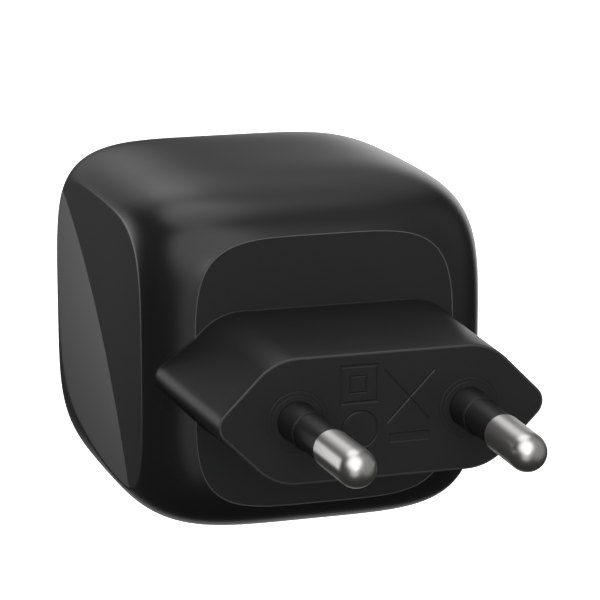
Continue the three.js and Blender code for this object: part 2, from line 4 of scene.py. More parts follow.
import bmesh
import bpy
import numpy as np
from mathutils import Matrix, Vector


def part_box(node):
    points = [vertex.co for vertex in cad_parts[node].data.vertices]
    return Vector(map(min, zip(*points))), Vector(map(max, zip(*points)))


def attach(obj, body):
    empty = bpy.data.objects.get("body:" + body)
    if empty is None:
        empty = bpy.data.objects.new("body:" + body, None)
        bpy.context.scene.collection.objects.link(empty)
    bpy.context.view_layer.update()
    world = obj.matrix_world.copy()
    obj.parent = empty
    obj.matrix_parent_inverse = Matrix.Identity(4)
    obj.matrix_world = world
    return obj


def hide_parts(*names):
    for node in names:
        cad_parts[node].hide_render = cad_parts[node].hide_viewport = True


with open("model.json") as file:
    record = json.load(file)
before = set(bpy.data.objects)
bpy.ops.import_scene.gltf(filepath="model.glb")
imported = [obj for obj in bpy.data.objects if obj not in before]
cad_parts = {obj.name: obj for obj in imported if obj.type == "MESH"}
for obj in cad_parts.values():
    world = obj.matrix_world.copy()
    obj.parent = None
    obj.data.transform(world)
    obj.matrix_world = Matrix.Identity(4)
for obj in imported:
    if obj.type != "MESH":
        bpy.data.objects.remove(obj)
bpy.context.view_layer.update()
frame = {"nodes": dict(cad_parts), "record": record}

# The shapes below are worked out in millimetres and turned into metres as each mesh is made.
MM = 0.001

# ------------------------------------------------------------------ driving dimensions
PANEL_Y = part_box("rear_cover")[0].y / MM  # flat panel round the plug, where depths start
PORT_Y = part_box("port_cap")[1].y / MM
PIN_REACH = -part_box("pin_left")[0].y / MM

GAP = 0.15  # clearance between two pieces that meet
TIGHT = 0.01  # what shows of it where two visible pieces are pressed together

# Body: the same crowned, squarish form as the CAD housing.
BODY_HALF_WIDTH = 21.4
BODY_HALF_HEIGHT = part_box("housing_shell")[1].z / MM
BODY_WIDEST = 24
BODY_FULL_DEPTH = 52
BODY_DEPTH = PORT_Y - PANEL_Y
REAR_CROWN = 4.3
PORT_CROWN = 4
PANEL_HALF_WIDTH = 14.8
PANEL_HALF_HEIGHT = 15.15
PANEL_SQUARENESS = 4.45
BODY_SQUARENESS = 4.8
SEAM_DEPTH = 44.6  # seam between the housing and its cap
SEAM_EDGE = 0.12  # rounding along that seam
PROFILE_SAMPLES = 4000
FINE_REACH = 0.9  # how far from a facet's edge the body's mesh gets finer

# Rear cover, and the inside of the housing and of its cap.
COVER_THICKNESS = 2.2
BEAD_RADIUS = 0.07  # fine raised line that runs round the panel
FLANGE_HALF_WIDTH = 15.95
FLANGE_HALF_HEIGHT = 15.75
FLANGE_THICKNESS = 1.15
MOUTH_HALF_WIDTH = 16.1  # opening in the housing that the flange lies in
MOUTH_HALF_HEIGHT = 15.9
MOUTH_DEPTH = 1.45
CAVITY_HALF_WIDTH = 17.3
CAVITY_HALF_HEIGHT = 16.6
CAVITY_START = 5  # behind the rear cover
CAP_WALL = 2
CAP_SIDE_WALL = 1.65
CAP_LIP = 2  # how far the cap reaches into the housing
CAP_FLOOR_HALF_WIDTH = 13.4
CAP_FLOOR_HALF_HEIGHT = 12.4
END_EDGE_DEPTH = 0.35  # rounding round the flat end face
END_EDGE_REACH = 0.9

# Side facets: a flat one at FACET_HALF_WIDTH and a shallow dome that rises past a curved crease.
FACET_HALF_WIDTH = 19.55
CREASE_RADIUS = 75.7
CREASE_RISE = 0.12
CREASE_CENTRE_DEPTH = 75.5
CREASE_CENTRE_HEIGHT = -54.4
FACET_EDGE = 0.1  # how softly the facets meet the crowned body

# Plug.
PLUG_HALF_WIDTH = 17.6
PLUG_HALF_HEIGHT = 6.7
PLUG_TAPER_WIDTH = 0.8
PLUG_TAPER_HEIGHT = 0.4
PLUG_SIDE_RADIUS = 1.85
PLUG_SMALLEST_RADIUS = 0.6  # that the side's rounding keeps where the outline is shrunk
PLUG_TOP_RADIUS = 6
PLUG_WALL = 1.8
PLUG_EDGE = 0.18  # rounding along the front
PLUG_FOOT = 0.22  # flare where it meets the housing
WINDOW_HALF_WIDTH = 12.15  # opening in the rear cover behind it
WINDOW_HALF_HEIGHT = 5.45
WINDOW_SIDE_RADIUS = 1.5
WINDOW_TOP_RADIUS = 3
FACE_RIM = 0.25
FACE_EDGE = 0.02
FACE_THICKNESS = 2.3
MARK_DEPTH = 0.08
RELIEF_RADII = (2.85, 3.3)  # fine rings round each pin
RELIEF_WIDTH = 0.16
RELIEF_DEPTH = 0.025

# Pins and their sleeves.
PIN_SPACING = 18.6
PIN_LEAN = math.asin(0.55 / 19)
PIN_RADIUS = 2
PIN_BACK = 5  # how far a pin goes in behind the plug's face
PIN_EDGE = 0.08
SLEEVE_LENGTH = 10.2
SLEEVE_RADIUS = 1.88
COLLAR_LENGTH = 4.05
COLLAR_RADIUS = 2.06
COLLAR_CLEARANCE = 0.06
SLEEVE_EDGE = 0.07
SLEEVE_CLEARANCE = 0.05  # between its front end and the pin's shoulder
SHANK_RADIUS = 1.4
SHANK_CLEARANCE = 0.03

# USB-C socket, upright.
PORT_HALF_WIDTH = 1.58
PORT_HALF_HEIGHT = 4.47
PORT_SHEET = 0.3
PORT_LENGTH = 7.3
PORT_RECESS = 0.2  # how far the socket lies behind the end face
PORT_CLEARANCE = 0.2
PORT_FLARE = 0.5

TURN_POINTS = 480  # points round each outline
TURN = np.arange(TURN_POINTS) * 2 * math.pi / TURN_POINTS + math.pi / 2


# ------------------------------------------------------------------ outlines, as radius by angle
def squircle(half_width, half_height, squareness, angle=TURN):
    """Superellipse; a higher squareness brings it nearer to a rectangle."""
    across = np.abs(np.cos(angle)) / half_width
    up = np.abs(np.sin(angle)) / half_height
    return (across**squareness + up**squareness) ** (-1 / squareness)


def by_angle(points):
    """Radius at every angle of TURN of a closed outline that the origin sees all of."""
    whole = 2 * math.pi
    x, z = np.array(points).T
    angle = np.arctan2(z, x) % whole
    order = np.argsort(angle)
    return np.interp(TURN % whole, angle[order], np.hypot(x, z)[order], period=whole)


def arc(x, z, radius, start, end, steps):
    turn = np.linspace(math.radians(start), math.radians(end), steps + 1)
    return [(x + radius * math.cos(t), z + radius * math.sin(t)) for t in turn]


def hexagon(half_width, half_height, side_radius, top_radius, steps=18):
    """Flattened hexagon with 90 degree points left and right and rounded shoulders."""
    corner_x = half_width - side_radius + side_radius * math.sqrt(2) - half_height
    top_x = corner_x - top_radius * math.tan(math.pi / 8)
    half = [
        *arc(top_x, top_radius - half_height, top_radius, -90, -45, steps),
        *arc(half_width - side_radius, 0, side_radius, -45, 45, steps),
        *arc(top_x, half_height - top_radius, top_radius, 45, 90, steps),
    ]
    return half + [(-x, -z) for x, z in half]


def stadium(half_width, half_height, steps=24):
    """Upright slot with round ends."""
    reach = half_height - half_width
    return arc(0, reach, half_width, 0, 180, steps) + arc(0, -reach, half_width, 180, 360, steps)


def dense(points, spacing=0.2):
    """The same outline with its long straight stretches split up."""
    made = []
    for a, b in zip(points, points[1:] + points[:1]):
        parts = max(1, math.ceil(math.dist(a, b) / spacing))
        made += [tuple(np.array(a) + (np.array(b) - np.array(a)) * i / parts) for i in range(parts)]
    return made


# ------------------------------------------------------------------ mesh making
def new_piece(name, mesh_builder, slot, *replaced):
    mesh = bpy.data.meshes.new(name)
    mesh_builder.to_mesh(mesh)
    mesh_builder.free()
    piece = bpy.data.objects.new(name, mesh)
    bpy.context.scene.collection.objects.link(piece)
    for polygon in mesh.polygons:
        polygon.use_smooth = True
    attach(piece, "root")
    if replaced:
        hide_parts(*replaced)
    return piece


def ring_points(radius, y, angle=TURN):
    y = np.broadcast_to(y, radius.shape)
    return np.stack([radius * np.cos(angle), y, radius * np.sin(angle)], -1)


def bridge(builder, low, high):
    """Faces between two rings of verts of equal count."""
    for i in range(len(low)):
        j = (i + 1) % len(low)
        builder.faces.new((low[i], high[i], high[j], low[j]))


def loft(rings, closed=True):
    """A bmesh through rings of points of equal count. Closed, its last ring joins its first, as on
    a piece with an opening right through; open, each end is capped."""
    builder = bmesh.new()
    verts = [[builder.verts.new(p * MM) for p in ring] for ring in rings]
    for low, high in zip(verts, verts[1:]):
        bridge(builder, low, high)
    if closed:
        bridge(builder, verts[-1], verts[0])
    else:
        builder.faces.new(verts[0])
        builder.faces.new(verts[-1][::-1])
    bmesh.ops.recalc_face_normals(builder, faces=builder.faces)
    return builder


def crisp(piece, angle=28):
    """Keeps edges sharper than the angle crisp, and flat faces flat beside small roundings."""
    piece.data.set_sharp_from_angle(angle=math.radians(angle))
    weighted = piece.modifiers.new("weighted_normals", "WEIGHTED_NORMAL")
    weighted.keep_sharp = True
    weighted.weight = 70
    return piece


def lathe(profile, sides=96):
    """Rings round the Y axis from [radius, y] points."""
    angle = np.arange(sides) * 2 * math.pi / sides
    return [ring_points(np.full(sides, radius), y, angle) for radius, y in profile]


def rounded(profile, radius=0.1, steps=4):
    """Rounds each inner corner of an open [radius, y] profile, less where its sides are short."""
    most = 2.2  # a rounding takes up no more than 1 / most of a side
    made = [profile[0]]
    for before, corner, after in zip(profile, profile[1:], profile[2:]):
        a, c, b = (np.array(p, float) for p in (before, corner, after))
        side_a, side_b = np.linalg.norm(a - c), np.linalg.norm(b - c)
        cut = min(radius, side_a / most, side_b / most)
        start, end = c + (a - c) / side_a * cut, c + (b - c) / side_b * cut
        for i in range(steps + 1):
            t = i / steps
            made.append(tuple((1 - t) ** 2 * start + 2 * t * (1 - t) * c + t * t * end))
    return [*made, profile[-1]]


def at_pin(rings, side):
    """Moves rings round the Y axis onto a pin's axis: +1 is the right pin, -1 the left."""
    turn = -side * PIN_LEAN
    made = []
    for ring in rings:
        x = ring[:, 0] * math.cos(turn) - ring[:, 1] * math.sin(turn)
        y = ring[:, 0] * math.sin(turn) + ring[:, 1] * math.cos(turn)
        made.append(np.stack([x + side * PIN_SPACING / 2, y, ring[:, 2]], -1))
    return made


# ------------------------------------------------------------------ outer form of the body
def body_section(depth):
    """Half width, half height and squareness of the crowned body at a depth behind the panel."""
    depth = np.asarray(depth, float)
    before = np.clip((BODY_WIDEST - depth) / BODY_WIDEST, 0, 1) ** REAR_CROWN
    past = np.clip((depth - BODY_WIDEST) / (BODY_FULL_DEPTH - BODY_WIDEST), 0, 1) ** PORT_CROWN
    closing = (1 - past) ** (1 / PORT_CROWN)

    def size(full, panel):
        narrowing = (1 - (panel / full) ** REAR_CROWN) * before
        return full * (1 - narrowing) ** (1 / REAR_CROWN) * closing

    blend = np.clip(depth / BODY_WIDEST, 0, 1)
    squareness = PANEL_SQUARENESS + (BODY_SQUARENESS - PANEL_SQUARENESS) * blend
    width = size(BODY_HALF_WIDTH, PANEL_HALF_WIDTH)
    return width, size(BODY_HALF_HEIGHT, PANEL_HALF_HEIGHT), squareness


def facet_limit(depth, z):
    """How far out from the middle plane the side facets let the body reach."""
    dome = CREASE_RADIUS / math.sin(math.atan(CREASE_RISE))
    drop = math.sqrt(dome**2 - CREASE_RADIUS**2)
    reach = np.hypot(depth - CREASE_CENTRE_DEPTH, z - CREASE_CENTRE_HEIGHT)
    rise = np.sqrt(dome**2 - np.minimum(reach, CREASE_RADIUS) ** 2) - drop
    return FACET_HALF_WIDTH + rise, reach - CREASE_RADIUS


def body_points(depth, angle):
    """Points of the facetted body, with how near each is to an edge of the facets."""
    width, height, squareness = body_section(depth)
    radius = squircle(width, height, squareness, angle)
    x, z = radius * np.cos(angle), radius * np.sin(angle)
    limit, past_crease = facet_limit(depth, z)
    over = np.abs(x) - limit
    blend = np.clip((FACET_EDGE - np.abs(over)) / FACET_EDGE, 0, None)
    reach = np.minimum(np.abs(x), limit) - blend**2 * FACET_EDGE / 4
    near = np.where(over > 0, np.minimum(np.abs(over) * 2, np.abs(past_crease)), np.abs(over) * 2)
    return np.stack([np.sign(x) * reach, PANEL_Y + depth, z], -1), near


def body_depth_at(x, z):
    """Depth at which the crowned body passes through points beside the panel; 0 on the panel."""
    halvings = 40
    low, high = np.zeros_like(x), np.full_like(x, BODY_WIDEST)
    for _ in range(halvings):
        middle = (low + high) / 2
        width, height, squareness = body_section(middle)
        outside = (np.abs(x) / width) ** squareness + (np.abs(z) / height) ** squareness > 1
        low, high = np.where(outside, middle, low), np.where(outside, high, middle)
    return low


def even_depths(start, end, spacing):
    """Depths that are evenly spaced along the body's profile rather than along its axis."""
    fine = np.linspace(start, end, PROFILE_SAMPLES)
    width, height, _ = body_section(fine)
    mean = (width + height) / 2
    along = np.concatenate([[0], np.cumsum(np.hypot(np.diff(fine), np.diff(mean)))])
    count = math.ceil(along[-1] / spacing)
    return np.interp(np.linspace(0, along[-1], count + 1), along, fine)


def crosses_start(edge):
    """True for the edges that close the tube, from its last column of verts to its first."""
    return abs(edge.verts[0].co.y - edge.verts[1].co.y) > math.pi


def body_surface(start, end, spacing=0.5, levels=2):
    """The outer surface between two depths as a tube of quads, finer along the facets' edges, with
    the loops of verts at its two ends. Until the end its verts hold [depth, angle, 0]."""
    depths = even_depths(start, end, spacing)
    builder = bmesh.new()
    rows = [[builder.verts.new((d, a, 0)) for a in TURN] for d in depths]
    for low, high in zip(rows, rows[1:]):
        bridge(builder, low, high)
    reach = FINE_REACH
    for _ in range(levels):
        whole = [e for e in builder.edges if not (e.is_boundary or crosses_start(e))]
        middle = np.array([[v.co[:2] for v in e.verts] for e in whole]).mean(1)
        _, near = body_points(middle[:, 0], middle[:, 1])
        chosen = [e for e, n in zip(whole, near) if n < reach]
        bmesh.ops.subdivide_edges(builder, edges=chosen, cuts=1, use_grid_fill=True)
        reach /= 2.2  # each level's band of finer quads lies inside the last one's
    builder.verts.ensure_lookup_table()
    flat = np.array([v.co[:2] for v in builder.verts])
    loops = []
    nearest = 1e-4
    for depth in (depths[0], depths[-1]):
        at_end = np.flatnonzero(np.abs(flat[:, 0] - depth) < nearest)
        at_end = at_end[np.argsort(flat[at_end, 1])]
        loops.append([builder.verts[i] for i in at_end])
    points, _ = body_points(flat[:, 0], flat[:, 1])
    for vert, point in zip(builder.verts, points):
        vert.co = point * MM
    return builder, loops


def add_rings(builder, loop, rings, end_loop):
    """Carries a tube on from a loop of its verts through more rings, and on to another loop."""
    loops = [loop, *[[builder.verts.new(p * MM) for p in ring] for ring in rings], end_loop]
    for low, high in zip(loops, loops[1:]):
        bridge(builder, low, high)
    bmesh.ops.recalc_face_normals(builder, faces=builder.faces)


def loop_points(loop):
    return np.array([v.co[:] for v in loop]) / MM


def seam_rounding(loop, side):
    """Rings that round the body off from a loop of its verts, towards the port for side 1 and
    towards the plug for -1."""
    points = loop_points(loop)
    inward = np.array([1, 0, 1]) * points / np.hypot(points[:, 0], points[:, 2])[:, None]
    rings = []
    for t in (math.pi / 8, math.pi / 4, 3 * math.pi / 8, math.pi / 2):
        along = np.array([0, side * SEAM_EDGE * math.sin(t), 0])
        rings.append(points - inward * SEAM_EDGE * (1 - math.cos(t)) + along)
    return rings


# ------------------------------------------------------------------ materials
NOISE_LOW, NOISE_HIGH = 0.3, 0.7  # most of a noise's values lie between these
GRAIN_HEIGHT = 0.00001  # metres
COARSE_GRAIN_HEIGHT = 0.00005


def node_material(name, colour, roughness, metallic=0.0, specular=0.5, ior=1.5):
    """A principled material with its fixed values on the shader's own sockets."""
    material = bpy.data.materials.new(name)
    material.use_nodes = True
    shader = material.node_tree.nodes["Principled BSDF"]
    shader.inputs["Base Color"].default_value = (*colour, 1)
    shader.inputs["Roughness"].default_value = roughness
    shader.inputs["Metallic"].default_value = metallic
    shader.inputs["Specular IOR Level"].default_value = specular
    shader.inputs["IOR"].default_value = ior
    return material, material.node_tree, shader


def noise(tree, scale, detail=3.0, stretch=(1, 1, 1)):
    """Noise in the object's own coordinates; scale counts features per metre."""
    place = tree.nodes.new("ShaderNodeTexCoord")
    mapping = tree.nodes.new("ShaderNodeMapping")
    mapping.inputs["Scale"].default_value = stretch
    texture = tree.nodes.new("ShaderNodeTexNoise")
    texture.inputs["Scale"].default_value = scale
    texture.inputs["Detail"].default_value = detail
    tree.links.new(place.outputs["Object"], mapping.inputs["Vector"])
    tree.links.new(mapping.outputs["Vector"], texture.inputs["Vector"])
    return texture.outputs["Fac"]


def vary_colour(tree, shader, factor, low, high):
    """Base colour between two values, as a noise goes from low to high."""
    ramp = tree.nodes.new("ShaderNodeValToRGB")
    ramp.color_ramp.elements[0].position = NOISE_LOW
    ramp.color_ramp.elements[0].color = (*low, 1)
    ramp.color_ramp.elements[1].position = NOISE_HIGH
    ramp.color_ramp.elements[1].color = (*high, 1)
    tree.links.new(factor, ramp.inputs["Fac"])
    tree.links.new(ramp.outputs["Color"], shader.inputs["Base Color"])


def vary_roughness(tree, shader, factor, low, high):
    spread = tree.nodes.new("ShaderNodeMapRange")
    spread.inputs["From Min"].default_value = NOISE_LOW
    spread.inputs["From Max"].default_value = NOISE_HIGH
    spread.inputs["To Min"].default_value = low
    spread.inputs["To Max"].default_value = high
    tree.links.new(factor, spread.inputs["Value"])
    tree.links.new(spread.outputs["Result"], shader.inputs["Roughness"])


def bump(tree, shader, factor, strength, height):
    node = tree.nodes.new("ShaderNodeBump")
    node.inputs["Strength"].default_value = strength
    node.inputs["Distance"].default_value = height
    tree.links.new(factor, node.inputs["Height"])
    tree.links.new(node.outputs["Normal"], shader.inputs["Normal"])


def scaled(colour, share):
    """A colour with each of its parts times a share."""
    return tuple(c * share for c in colour)


def turned_marks(tree, shader, amount):
    """Tool marks that run round the Y axis, and draw the highlights out along it."""
    along = tree.nodes.new("ShaderNodeCombineXYZ")
    along.inputs["Y"].default_value = 1
    tree.links.new(along.outputs["Vector"], shader.inputs["Tangent"])
    shader.inputs["Anisotropic"].default_value = amount


def moulded_plastic(name, colour, roughness, grain=0.25, specular=0.5, turned=0.0):
    """Satin moulded plastic: fine spark-eroded grain, and slow drifts in shade and gloss."""
    drift = 0.008  # of the roughness, either way
    material, tree, shader = node_material(name, colour, roughness, specular=specular)
    fine = noise(tree, 6000, 1)
    vary_colour(tree, shader, noise(tree, 60, 2), scaled(colour, 0.95), scaled(colour, 1.05))
    vary_roughness(tree, shader, noise(tree, 70, 1), roughness - drift, roughness + drift)
    bump(tree, shader, fine, grain, GRAIN_HEIGHT)
    if turned:
        turned_marks(tree, shader, turned)
    return material


def painted_edge_highlight(material, y, height, colour):
    """Painted highlight: paler colour on a narrow edge, fading in over a height in front of a plane
    at y, standing in for light caught by that edge.
    """
    tree = material.node_tree
    base = tree.nodes["Principled BSDF"].inputs["Base Color"]
    place = tree.nodes.new("ShaderNodeTexCoord")
    split = tree.nodes.new("ShaderNodeSeparateXYZ")
    highlight_fade = tree.nodes.new("ShaderNodeMapRange")
    highlight_fade.inputs["From Min"].default_value = y * MM
    highlight_fade.inputs["From Max"].default_value = (y - height) * MM
    mix = tree.nodes.new("ShaderNodeMix")
    mix.data_type = "RGBA"
    mix.inputs["B"].default_value = (*colour, 1)
    tree.links.new(base.links[0].from_socket, mix.inputs["A"])
    tree.links.new(place.outputs["Object"], split.inputs["Vector"])
    tree.links.new(split.outputs["Y"], highlight_fade.inputs["Value"])
    tree.links.new(highlight_fade.outputs["Result"], mix.inputs["Factor"])
    tree.links.new(mix.outputs["Result"], base)
    return material


def drawn_metal(name, colour, roughness):
    """Plated sheet or bar with very faint drawing marks."""
    material, tree, shader = node_material(name, colour, roughness, metallic=1)
    marks = noise(tree, 150, 2, stretch=(1, 12, 1))
    vary_roughness(tree, shader, marks, roughness * 0.94, roughness * 1.06)
    vary_colour(tree, shader, noise(tree, 300, 2), scaled(colour, 0.97), colour)
    bump(tree, shader, marks, 0.02, GRAIN_HEIGHT)
    return material


def plated_metal(name, colour, roughness, turned=0.0):
    """Nickel plating, slightly cloudy."""
    material, tree, shader = node_material(name, colour, roughness, metallic=1)
    vary_colour(tree, shader, noise(tree, 300, 2), scaled(colour, 0.97), colour)
    if turned:
        turned_marks(tree, shader, turned)
    return material


# Colour, roughness, metalness, grain features per metre and bump strength of what lies inside.
INNER = {
    "contact_brass": ((0.62, 0.42, 0.14), 0.32, 1, 900, 0.1),
    "contact_gold": ((0.78, 0.55, 0.2), 0.22, 1, 1500, 0.05),
    "receptacle_steel": ((0.55, 0.56, 0.57), 0.28, 1, 800, 0.08),
    "spreader_aluminium": ((0.62, 0.64, 0.66), 0.38, 1, 500, 0.15),
    "capacitor_can": ((0.66, 0.67, 0.69), 0.3, 1, 600, 0.08),
    "capacitor_sleeve": ((0.012, 0.02, 0.055), 0.35, 0, 400, 0.1),
    "wire_insulation": ((0.62, 0.6, 0.55), 0.42, 0, 700, 0.1),
    "board_laminate": ((0.012, 0.09, 0.035), 0.42, 0, 1200, 0.15),
    "chip_package": ((0.012, 0.012, 0.013), 0.55, 0, 3000, 0.3),
    "film_box": ((0.45, 0.34, 0.05), 0.4, 0, 500, 0.1),
    "fuse_box": ((0.04, 0.04, 0.042), 0.45, 0, 1500, 0.2),
    "green_coating": ((0.02, 0.13, 0.06), 0.35, 0, 600, 0.3),
    "blue_coating": ((0.025, 0.11, 0.32), 0.35, 0, 600, 0.3),
    "ferrite": ((0.03, 0.03, 0.032), 0.6, 0, 2500, 0.4),
    "copper_wire": ((0.62, 0.23, 0.1), 0.3, 1, 1500, 0.6),
    "winding_tape": ((0.66, 0.47, 0.04), 0.4, 0, 500, 0.1),
    "bobbin_plastic": ((0.015, 0.015, 0.016), 0.45, 0, 1500, 0.2),
    "insulation_film": ((0.74, 0.72, 0.64), 0.45, 0, 300, 0.1),
    "thermal_pad": ((0.25, 0.34, 0.42), 0.8, 0, 1500, 0.4),
    "tongue_plastic": ((0.01, 0.01, 0.011), 0.45, 0, 3000, 0.2),
}


def inner_material(name, colour, roughness, metallic, features, strength):
    material, tree, shader = node_material(name, colour, roughness, metallic=metallic)
    grain = noise(tree, features, 4)
    cloud = noise(tree, features / 3)
    vary_colour(tree, shader, grain, scaled(colour, 0.85), scaled(colour, 1.12))
    vary_roughness(tree, shader, cloud, roughness * 0.9, min(1, roughness * 1.15))
    bump(tree, shader, grain, strength, COARSE_GRAIN_HEIGHT)
    return material


def dress_inner_nodes():
    """Gives every CAD node that is carried over the finish of its slot in the record."""
    made = {slot: inner_material(slot, *values) for slot, values in INNER.items()}
    for row in frame["record"]["materials"]:
        for name in row.get("nodes", []):
            if row["slot"] in made:
                mesh = frame["nodes"][name].data
                mesh.materials.clear()
                mesh.materials.append(made[row["slot"]])


SATIN_BLACK = (0.013, 0.013, 0.0135)
PLUG_BLACK = (0.0125, 0.0125, 0.013)
MATTE_BLACK = (0.0165, 0.0165, 0.017)
DEEP_BLACK = (0.009, 0.009, 0.0095)
# Painted highlight on the fine bead round the panel: paler colour standing in for light along it.
BEAD_PAINTED_HIGHLIGHT = (0.13, 0.13, 0.13)
# Painted highlight on the plug's rounded front edge: paler colour standing in for light along it.
RIM_PAINTED_HIGHLIGHT = (0.07, 0.07, 0.07)
NICKEL = (0.74, 0.73, 0.71)
STAINLESS = (0.55, 0.56, 0.57)
TURNING = 0.8  # how strongly turning marks draw out a highlight

HOUSING = moulded_plastic("housing_satin_plastic", SATIN_BLACK, 0.28)
# The panel's bead gets a painted highlight, a paler colour along its edge.
PANEL = painted_edge_highlight(
    moulded_plastic("panel_matte_plastic", MATTE_BLACK, 0.55, grain=0.5),
    y=PANEL_Y - 0.01,
    height=0.02,
    colour=BEAD_PAINTED_HIGHLIGHT,
)
# The plug's rounded front edge gets a painted highlight, a paler colour fading in towards the face.
PLUG = painted_edge_highlight(
    moulded_plastic("plug_satin_plastic", PLUG_BLACK, 0.4, specular=0.3),
    y=0.14,
    height=0.06,
    colour=RIM_PAINTED_HIGHLIGHT,
)
FACE = moulded_plastic("plug_face_plastic", MATTE_BLACK, 0.5, grain=0.4)
SLEEVE = moulded_plastic("sleeve_plastic", DEEP_BLACK, 0.45, turned=TURNING)
SHAFT = plated_metal("pin_turned_nickel", NICKEL, 0.33, turned=TURNING)
NOSE = plated_metal("pin_polished_nickel", NICKEL, 0.33)
STEEL = drawn_metal("receptacle_drawn_steel", STAINLESS, 0.26)


def finish_with(piece, material):
    piece.data.materials.clear()
    piece.data.materials.append(material)
    return piece


# ------------------------------------------------------------------ housing and covers
def make_housing():
    builder, (front, back) = body_surface(0, SEAM_DEPTH - SEAM_EDGE)
    panel = squircle(PANEL_HALF_WIDTH, PANEL_HALF_HEIGHT, PANEL_SQUARENESS)
    mouth = squircle(MOUTH_HALF_WIDTH, MOUTH_HALF_HEIGHT, BODY_SQUARENESS)
    cavity = squircle(CAVITY_HALF_WIDTH, CAVITY_HALF_HEIGHT, BODY_SQUARENESS)
    cover_back = COVER_THICKNESS + GAP
    inside = [
        ring_points(cavity, PANEL_Y + SEAM_DEPTH),
        ring_points(cavity, PANEL_Y + cover_back + CAVITY_START),
        ring_points(mouth, PANEL_Y + cover_back + MOUTH_DEPTH),
        ring_points(mouth, PANEL_Y + cover_back),
        ring_points(panel, PANEL_Y + cover_back),
    ]
    add_rings(builder, back, seam_rounding(back, 1) + inside, front)
    piece = new_piece("housing_shell_surface", builder, "housing_plastic", "housing_shell")
    piece.data.set_sharp_from_angle(angle=math.radians(50))
    return finish_with(piece, HOUSING)


def port_outline(margin):
    return by_angle(dense(stadium(PORT_HALF_WIDTH + margin, PORT_HALF_HEIGHT + margin)))


def make_port_cap():
    start, end = SEAM_DEPTH + GAP, BODY_DEPTH - END_EDGE_DEPTH
    builder, (front, back) = body_surface(start + SEAM_EDGE, end, spacing=0.45)
    last = loop_points(back)
    rim = np.hypot(last[:, 0], last[:, 2])
    flat = rim - END_EDGE_REACH
    slot = port_outline(PORT_CLEARANCE)
    flare = port_outline(PORT_CLEARANCE + PORT_FLARE)
    lip = squircle(CAVITY_HALF_WIDTH - GAP, CAVITY_HALF_HEIGHT - GAP, BODY_SQUARENESS)
    hollow = squircle(
        CAVITY_HALF_WIDTH - CAP_SIDE_WALL, CAVITY_HALF_HEIGHT - CAP_SIDE_WALL, BODY_SQUARENESS
    )
    floor = squircle(CAP_FLOOR_HALF_WIDTH, CAP_FLOOR_HALF_HEIGHT, BODY_SQUARENESS)
    face = [ring_points(rim - 0.5, PORT_Y - 0.08), ring_points(flat, PORT_Y)]
    for t in (0.25, 0.5, 0.75, 1):
        face.append(ring_points(flat * (1 - t) + (flare + 0.12) * t, PORT_Y))
    ease = 0.03  # softens the top and the foot of the flare's slope
    opening = [
        ring_points(flare + ease, PORT_Y - ease),
        ring_points(flare - ease, PORT_Y - 4 * ease),
        ring_points(slot + ease, PORT_Y - PORT_FLARE + ease),
        ring_points(slot, PORT_Y - PORT_FLARE - 0.1),
        ring_points(slot, PORT_Y - CAP_WALL),
    ]
    inside = [
        ring_points(floor, PORT_Y - CAP_WALL),
        ring_points(hollow, PANEL_Y + SEAM_DEPTH - CAP_LIP),
        ring_points(lip, PANEL_Y + SEAM_DEPTH - CAP_LIP),
        ring_points(lip, PANEL_Y + start),
    ]
    seam = seam_rounding(front, -1)[::-1]
    add_rings(builder, back, face + opening + inside + seam, front)
    piece = new_piece("port_cap_surface", builder, "housing_plastic", "port_cap")
    piece.data.set_sharp_from_angle(angle=math.radians(40))
    return finish_with(piece, HOUSING)


def make_rear_cover():
    outer = squircle(PANEL_HALF_WIDTH - TIGHT, PANEL_HALF_HEIGHT - TIGHT, PANEL_SQUARENESS)
    flange = squircle(FLANGE_HALF_WIDTH, FLANGE_HALF_HEIGHT, BODY_SQUARENESS)
    opening = hexagon(
        WINDOW_HALF_WIDTH, WINDOW_HALF_HEIGHT, WINDOW_SIDE_RADIUS, WINDOW_TOP_RADIUS
    )
    window = by_angle(dense(opening))
    rings = []
    for t in np.linspace(0, math.pi, 9):
        radius = outer - BEAD_RADIUS * (1 - math.cos(t))
        rings.append(ring_points(radius, PANEL_Y - BEAD_RADIUS * math.sin(t)))
    for t in (0.15, 0.5, 1):
        rings.append(ring_points((outer - 2 * BEAD_RADIUS) * (1 - t) + window * t, PANEL_Y))
    step = PANEL_Y + (COVER_THICKNESS + 2 * GAP)
    back = step + FLANGE_THICKNESS
    rings += [
        ring_points(window, back),
        ring_points(flange, back),
        ring_points(flange, step),
        ring_points(outer, step),
    ]
    piece = new_piece("rear_cover_surface", loft(rings), "panel_plastic", "rear_cover")
    return finish_with(crisp(piece), PANEL)


# ------------------------------------------------------------------ plug
def plug_ring(share, shrink, y=None):
    """The plug's outline at a share of the way from its face to the housing, shrunk all round."""
    outline = hexagon(
        PLUG_HALF_WIDTH + PLUG_TAPER_WIDTH * share - shrink,
        PLUG_HALF_HEIGHT + PLUG_TAPER_HEIGHT * share - shrink,
        max(PLUG_SIDE_RADIUS - shrink, PLUG_SMALLEST_RADIUS),
        PLUG_TOP_RADIUS - shrink,
    )
    radius = by_angle(dense(outline, spacing=0.5))
    return ring_points(radius, PANEL_Y * share if y is None else y)


def seat_on_body(ring):
    """Y at which the crowned body lies behind each point of a ring, less a third of a gap."""
    return PANEL_Y + body_depth_at(ring[:, 0], ring[:, 2]) - GAP / 3


